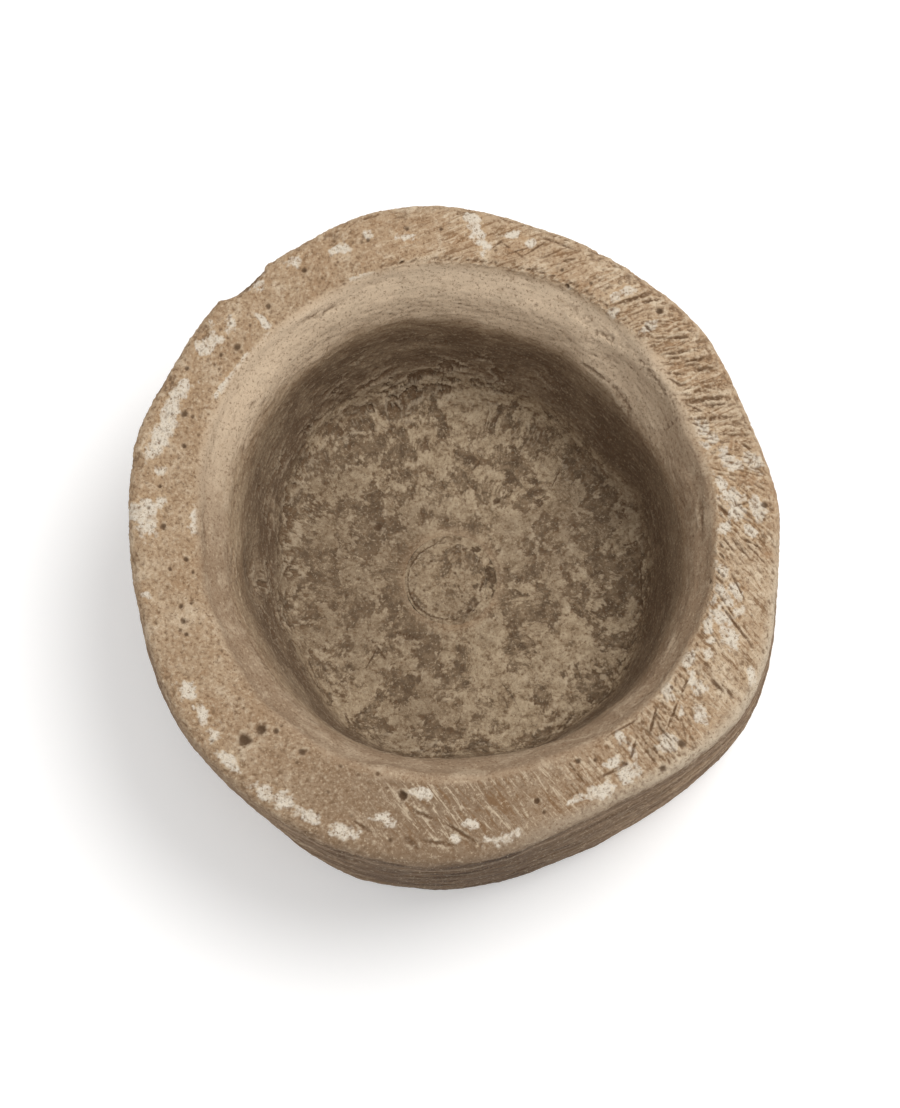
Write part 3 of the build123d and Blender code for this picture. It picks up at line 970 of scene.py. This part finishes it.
class StoneNodes(Nodes):
    """Limestone as the masks say: rim, lip, wall, floor and outside each have their own
    colours, and all share the grain, the dirt in hollows and the worn high edges."""

    def __init__(self, name):
        super().__init__(name)
        self.broad = self.noise(6.0, 4.0)
        self.patchy = self.noise(34.0, 6.0, 0.68, 0.5)
        self.mottle = self.noise(95.0, 6.0, 0.72, 0.4)
        self.grain = self.noise(340.0, 4.0, 0.72)
        self.speck = self.noise(820.0, 2.0, 0.6)
        self.marks = self.mix(self.mask("upper"), self.streaks(-50), self.streaks(22))

    def between(self, value, low, high, first, last):
        """A colour that runs from the first to the last as a value does from low to high."""
        return self.mix(self.ramp(value, low, high), srgb(*first), srgb(*last))

    def laid_over(self, colour, *coats):
        """A colour under coats of others: (share, colour as it looks on screen)."""
        for share, coat in coats:
            colour = self.mix(share, colour, srgb(*coat))
        return colour

    def rim(self):
        patchy, mottle = self.patchy, self.mottle
        dressed = self.mask("dressed")
        chalk = self.times(self.mask("pale"), self.ramp(mottle, 0.36, 0.52, 0.45, 1.0))
        return self.laid_over(
            self.between(self.broad, 0.36, 0.64, (172, 145, 116), (180, 157, 130)),
            (self.ramp(patchy, 0.52, 0.66, 0.0, 0.75), (199, 180, 155)),
            (self.ramp(patchy, 0.47, 0.34, 0.0, 0.8), (158, 125, 93)),
            (self.ramp(mottle, 0.47, 0.35, 0.0, 0.65), (138, 107, 77)),
            (self.ramp(mottle, 0.54, 0.66, 0.0, 0.6), (203, 184, 158)),
            (self.times(self.mask("left"), self.ramp(patchy, 0.60, 0.42, 0.15, 0.6)), (156, 130, 102)),
            (self.times(self.mask("halo"), 0.4), (190, 158, 120)),
            (self.times(self.mask("worn"), 0.7), (202, 187, 165)),
            # Painted shade on the front of the rim
            (self.times(self.mask("rim_front_painted_shade"), 0.85), (122, 101, 80)),
            (self.times(dressed, self.ramp(self.marks, 0.47, 0.38, 0.0, 0.8)), (122, 93, 65)),
            (self.times(dressed, self.ramp(self.marks, 0.54, 0.64, 0.0, 0.6)), (210, 192, 166)),
            (self.times(chalk, self.ramp(self.grain, 0.36, 0.50, 0.55, 0.95)), (212, 202, 186)),
        )

    def outside(self):
        """Brown beds, darkest in front."""
        layers = self.noise(70.0, 6.0, 0.7, 0.6, self.squeezed(0.16, 0.16, 1.0))
        colour = self.laid_over(
            self.between(layers, 0.36, 0.62, (106, 81, 59), (158, 133, 106)),
            (self.ramp(self.mottle, 0.50, 0.36, 0.0, 0.6), (88, 65, 46)),
            (self.ramp(self.patchy, 0.56, 0.68, 0.0, 0.55), (196, 177, 150)),
        )
        dark = self.between(layers, 0.36, 0.62, (50, 36, 26), (90, 70, 52))
        return self.mix(self.times(self.mask("shade"), 0.9), colour, dark)

    def lip(self):
        """Smooth and light, with painted light making it lightest at the back."""
        return self.laid_over(
            # Painted light: lighter towards the back
            self.mix(self.mask("back"), srgb(152, 129, 105), srgb(214, 192, 165)),
            (self.ramp(self.patchy, 0.46, 0.64, 0.0, 0.45), (204, 184, 158)),
            (self.ramp(self.mottle, 0.48, 0.32, 0.0, 0.4), (146, 120, 94)),
        )

    def wall(self):
        """Browner with depth, and darker on the right by painted shade."""
        stain = self.noise(15.0, 6.0, 0.66, 1.0)
        upper = self.between(stain, 0.36, 0.62, (150, 126, 100), (176, 154, 127))
        lower = self.between(stain, 0.40, 0.64, (112, 93, 74), (148, 129, 106))
        return self.laid_over(
            self.mix(self.mask("deep"), upper, lower),
            (self.ramp(self.mottle, 0.50, 0.34, 0.0, 0.5), (98, 78, 60)),
            # Painted shade: darker on the right
            (self.times(self.mask("right"), 0.4), (96, 78, 61)),
        )

    def floor(self):
        """A pale crust, broken through to dark grit, with fine seams in it."""
        blotch = self.noise(15.0, 12.0, 0.84, 1.2)
        broken = self.ramp(self.math("MULTIPLY_ADD", self.mask("crust"), 0.11, blotch), 0.50, 0.56)
        light = self.between(self.mottle, 0.36, 0.64, (148, 127, 101), (187, 168, 141))
        dark = self.between(self.mottle, 0.38, 0.62, (94, 78, 61), (142, 122, 98))
        off_middle = self.plain("SUBTRACT", self.noise(46.0, 8.0, 0.75, 1.4), 0.5)
        seam = self.ramp(self.plain("ABSOLUTE", off_middle), 0.010, 0.0)
        seam = self.times(seam, self.ramp(self.patchy, 0.44, 0.56))
        return self.laid_over(
            self.mix(broken, dark, light),
            (self.ramp(self.mottle, 0.45, 0.33, 0.0, 0.65), (96, 79, 62)),
            (self.ramp(self.broad, 0.58, 0.40, 0.0, 0.4), (112, 94, 75)),
            (self.times(seam, 0.7), (74, 59, 45)),
        )

    def worn(self, colour):
        """A colour with the wear, dirt and grain that all the stone has, and painted shade along the cuts."""
        proud = self.plain("SUBTRACT", 0.38, self.times(self.mask("outside"), 0.24))
        return self.laid_over(
            colour,
            (self.times(self.mask("high"), proud), (211, 194, 169)),
            (self.times(self.mask("hollow"), 0.62), (104, 80, 58)),
            # Partly painted shade in the cuts' grooves, partly stain
            (self.times(self.mask("furrow"), 0.72), (104, 77, 52)),
            (self.ramp(self.grain, 0.47, 0.34, 0.0, 0.7), (112, 85, 60)),
            (self.ramp(self.grain, 0.55, 0.68, 0.0, 0.55), (210, 190, 162)),
            (self.ramp(self.speck, 0.40, 0.29, 0.0, 0.5), (94, 72, 52)),
            (self.mask("dirt"), (82, 63, 46)),
        )

    def bump(self):
        node = self.add("ShaderNodeBump")
        node.inputs["Strength"].default_value = 0.7
        node.inputs["Distance"].default_value = 0.7 * MM
        rough = self.math("MULTIPLY_ADD", self.speck, 0.25, self.times(self.grain, 0.45))
        cuts = self.times(self.mask("dressed"), 0.30)
        self.feed(node.inputs["Height"], self.math("MULTIPLY_ADD", self.marks, cuts, rough))
        return node.outputs[0]


def stone_material(name):
    n = StoneNodes(name)
    colour = n.rim()
    zones = {"outside": n.outside(), "lip": n.lip(), "wall": n.wall(), "floor": n.floor()}
    for mask, zone_colour in zones.items():
        colour = n.mix(n.mask(mask), colour, zone_colour)
    n.feed(n.shader.inputs["Base Color"], n.worn(colour))
    n.shader.inputs["Roughness"].default_value = 0.92
    n.shader.inputs["Specular IOR Level"].default_value = 0.2
    n.feed(n.shader.inputs["Normal"], n.bump())
    return n.material


def polar_grid(centre, rows, columns):
    """A grid of (radius, height) rows round a centre. A radius may differ by direction."""
    angle = 2 * math.pi * np.arange(columns) / columns
    grid = []
    for radius, z in rows:
        r = radius(angle) if callable(radius) else np.full(columns, radius)
        x, y = centre.x + r * np.cos(angle), centre.y + r * np.sin(angle)
        grid.append(np.stack([x, y, np.full(columns, z)], 1))
    return np.array(grid)


def small_piece(name, grid, closed_ends, colour_masks, node, material):
    """A finished piece that stands for a CAD node."""
    thing = mesh_from_grid(name, grid, closed_ends)
    for mask, values in colour_masks.items():
        add_mask(thing, mask, values)
    thing.data.materials.append(material)
    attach(thing, "root")
    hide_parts(node)
    return thing


add_camera()
stone_tree = cad_tree(STONE)
coarse, zones = stone_skin()
relief = StoneRelief(softened(around(coarse, COLUMNS), zones), zones)
relief.carve()
relief.stay_inside(np.array(stone_low), np.array(stone_high))
relief.wear(0.12 * MM, 0.75 * MM)
skin = relief.moved()
stone = mesh_from_grid("limestone_trough", skin)
for name, values in relief.masks.items():
    add_mask(stone, name, values)
place_loops(stone, stone_map(relief.points.reshape(skin.shape), zones))
stone.data.materials.append(stone_material("limestone"))
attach(stone, "root")
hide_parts(STONE)


# The plug and the mortar that beds it. Both tapers are foot to top.

PLUG_COLUMNS = 360
PLUG_TAPER = 72 / 90
HOLE_TAPER = 80 / 100
PLUG_CENTRE_HOLE = 0.8 * MM
PLUG_ROWS = 70
PLUG_SEAM = 42.6 * MM
PLUG_SEAM_TURNS = (95, 268, 7)


def disc_relief(grid, seed, top):
    """A small piece with relief on its top face, and the weight of that face."""
    piece = Relief(grid)
    noise, second = Noise(seed), Noise(seed + 1)
    p = piece.points
    up = smooth_step(0.5, 0.9, piece.outward[:, 2]) * (p[:, 2] > top - 4 * MM)
    piece.add(up, lambda q: 0.5 * noise.layers(q, 30 * MM, 3, 0.6))
    piece.add(up, lambda q: 0.35 * second.layers(q, 6.5 * MM, 3, 0.8))
    return piece, up


plug_centre = (plug_low + plug_high) / 2
plug_radius = (plug_high.x - plug_low.x) / 2
plug_foot_radius = plug_radius * PLUG_TAPER
plug_crown = plug_high.z


def plug_outline(angle):
    """The plug's edge at its top: broken back in places on the right."""
    noise = Noise(SEED + 9)
    at = np.stack([np.cos(angle), np.sin(angle), 0 * angle], 1)
    ragged = noise.layers(at, 0.22, 4, 0.7)
    right = smooth_step(-0.2, 0.8, np.cos(angle))
    return plug_radius - 1.3 * MM - (0.25 + 1.1 * right) * MM * np.abs(ragged) - 0.2 * MM * right


def make_plug():
    top = floor_top + 0.5 * MM
    foot = plug_foot_radius
    rows = [(r, plug_low.z) for r in (PLUG_CENTRE_HOLE, foot * 0.6, foot - 1 * MM)]
    for share in spread(0.0, 1.0, 1 / 14):
        r = foot - 0.6 * MM + (plug_radius - foot - 0.8 * MM) * share
        rows.append((r, plug_low.z + 0.6 * MM + (top - 2.2 * MM - plug_low.z) * share))
    rows.append((lambda angle: plug_outline(angle) + 0.2 * MM, top - 1.6 * MM))
    rows.append((plug_outline, top - 0.9 * MM))
    rows.append((lambda angle: plug_outline(angle) - 0.5 * MM, top - 0.25 * MM))
    for share in spread(0.0, 1.0, 1 / PLUG_ROWS):
        inwards = lambda angle, s=share: (plug_outline(angle) - 1.1 * MM) * (1 - s) + PLUG_CENTRE_HOLE * s
        rows.append((inwards, top))
    rows.append((PLUG_CENTRE_HOLE, top))
    grid = polar_grid(plug_centre, rows, PLUG_COLUMNS)
    piece, up = disc_relief(grid, SEED + 20, top)
    rough = Noise(SEED + 22)
    wobble = rough.layers(piece.points, 6 * MM, 2)
    for x0, y0, x1, y1, width, cut in PLUG_CRACKS:
        start, end = plug_spot(x0, y0), plug_spot(x1, y1)
        piece.furrow(start, end, 1.1 * width * MM, cut * MM, wobble, 1.0, 0.95, False)
    # The seam's dark line down the plug's left side: a groove, darkened in the furrow and dirt masks as
    # painted shade
    for turn in range(*PLUG_SEAM_TURNS):
        start, end = (on_seam(math.radians(at), top) for at in (turn, turn + 8))
        piece.furrow(start, end, 2.2 * MM, 0.7 * MM, wobble, 0.6, 0.55, False)
    for x, y, width, deep in PLUG_PITS:
        piece.pit(plug_spot(x, y), width * MM, deep * MM, wobble)
    piece.height = np.minimum(piece.height, 0.45 * MM) * up
    piece.wear(0.06 * MM, 0.4 * MM)
    crust = smooth_step(-0.25, 0.1, rough.layers(piece.points, 30 * MM, 4, 0.7))
    piece.mask("crust")[:] = crust
    piece.mask("floor")[:] = 1
    small_piece("drain_plug_stone", piece.moved(), True, piece.masks, PLUG,
                stone_material("plug_stone"))


def on_seam(angle, z):
    """A point of the soft seam down the plug's left side."""
    x, y = plug_centre.x + PLUG_SEAM * math.cos(angle), plug_centre.y + PLUG_SEAM * math.sin(angle)
    return np.array((x, y, z))


def plug_spot(x, y):
    """Where the camera sees a pixel of the photograph on the level of the plug's top."""
    way = sight_line(x, y)
    far = (plug_crown - camera_place.z) / way.z
    return np.array(camera_place + way * far)


def make_mortar():
    """The bedding: a ring between the hole and the plug, thick on the right."""
    hole_top = (mortar_high.x - mortar_low.x) / 2
    narrowing = hole_top * (1 - HOLE_TAPER) / floor_top
    offset = (plug_centre - hole_centre).xy
    low, high = mortar_low.z, floor_top - 0.1 * MM

    def outer(z):
        r = hole_top - (floor_top - z) * narrowing + 0.1 * MM
        return lambda angle: np.full(len(angle), r)

    def inner(z):
        share = (z - plug_low.z) / (plug_crown - plug_low.z)
        r = plug_foot_radius + (plug_radius - plug_foot_radius) * np.clip(share, 0, 1) + 0.3 * MM
        r -= 2.2 * MM * smooth_step(low + 0.9 * (high - low), high, z)

        def reach(angle):
            along = offset.x * np.cos(angle) + offset.y * np.sin(angle)
            return along + np.sqrt(r * r - (offset.length_squared - along * along))
        return reach

    def between(z, share):
        def reach(angle):
            near = inner(z)(angle)
            return near * (1 - share) + np.maximum(outer(z)(angle), near + 0.3 * MM) * share
        return reach

    rows = [(between(low, s), low) for s in spread(0, 1, 1 / 5)]
    rows += [(between(z, 1.0), z) for z in spread(low, high, 6 * MM)]
    rows += [(between(high, 1 - s), high) for s in spread(0, 1, 1 / 14)]
    rows += [(between(z, 0.0), z) for z in spread(high, low, 6 * MM)]
    grid = polar_grid(hole_centre, rows, PLUG_COLUMNS)
    piece, up = disc_relief(grid, SEED + 30, high)
    rough = Noise(SEED + 32)
    right = smooth_step(-0.2, 0.7, (piece.points[:, 0] - hole_centre.x) / hole_top)
    sink = smooth_step(0.0, 0.5, rough.layers(piece.points, 11 * MM, 3, 0.7)) * (0.25 + 0.75 * right)
    piece.height -= up * 1.8 * MM * sink
    piece.height = np.minimum(piece.height, 0) * up
    piece.mask("dirt")[:] = np.clip(0.65 * sink, 0, 0.7) * up
    piece.mask("floor")[:] = 1
    piece.mask("crust")[:] = 1 - sink
    small_piece("bedding_mortar_ring", piece.moved(), False, piece.masks, MORTAR,
                stone_material("bedding_mortar"))


make_plug()
make_mortar()


# Light and floor. What the camera sees of the floor and the world is lifted to white.

GROUND_SIZE = 14
GROUND_ALBEDO = 0.95
GROUND_LIFT = 0.20
WORLD_LIGHT = 0.66
KEY_PLACE = (1.4, 0.7, 4.4)
KEY_AIM = (0, 0, 0.2)
KEY_SIZE = 2.0
KEY_POWER = 108

def add_light(name, place, aim, size, power):
    data = bpy.data.lights.new(name, "AREA")
    data.shape = "DISK"
    data.size = size
    data.energy = power
    data.color = (1.0, 0.985, 0.965)
    lamp = bpy.data.objects.new(name, data)
    lamp.location = place
    lamp.rotation_mode = "QUATERNION"
    lamp.rotation_quaternion = (Vector(aim) - Vector(place)).to_track_quat("-Z", "Y")
    bpy.context.collection.objects.link(lamp)


def seen_directly(tree, amount, base):
    """A value that is larger by an amount where the camera or a mirror sees it."""
    path = tree.nodes.new("ShaderNodeLightPath")
    value = None
    for ray in ("Is Camera Ray", "Is Glossy Ray", "Is Transmission Ray"):
        node = tree.nodes.new("ShaderNodeMath")
        node.operation = "MULTIPLY_ADD"
        node.inputs[1].default_value = amount
        tree.links.new(path.outputs[ray], node.inputs[0])
        if value is None:
            node.inputs[2].default_value = base
        else:
            tree.links.new(value, node.inputs[2])
        value = node.outputs[0]
    return value


def studio():
    bpy.ops.mesh.primitive_plane_add(size=GROUND_SIZE, location=(0, 0, 0))
    ground = bpy.context.object
    ground.name = "ground"
    material = bpy.data.materials.new("ground")
    material.use_nodes = True
    shader = material.node_tree.nodes["Principled BSDF"]
    shader.inputs["Base Color"].default_value = (GROUND_ALBEDO, GROUND_ALBEDO, GROUND_ALBEDO, 1)
    shader.inputs["Roughness"].default_value = 0.95
    seen = seen_directly(material.node_tree, GROUND_LIFT, 0.0)
    shader.inputs["Emission Color"].default_value = (1, 1, 1, 1)
    material.node_tree.links.new(seen, shader.inputs["Emission Strength"])
    ground.data.materials.append(material)
    world = bpy.data.worlds.new("studio")
    bpy.context.scene.world = world
    world.use_nodes = True
    background = world.node_tree.nodes["Background"]
    background.inputs[0].default_value = (1, 1, 1, 1)
    strength = seen_directly(world.node_tree, 1 - WORLD_LIGHT, WORLD_LIGHT)
    world.node_tree.links.new(strength, background.inputs[1])
    add_light("key", KEY_PLACE, KEY_AIM, KEY_SIZE, KEY_POWER)
    bpy.context.scene.view_settings.view_transform = "Standard"


studio()
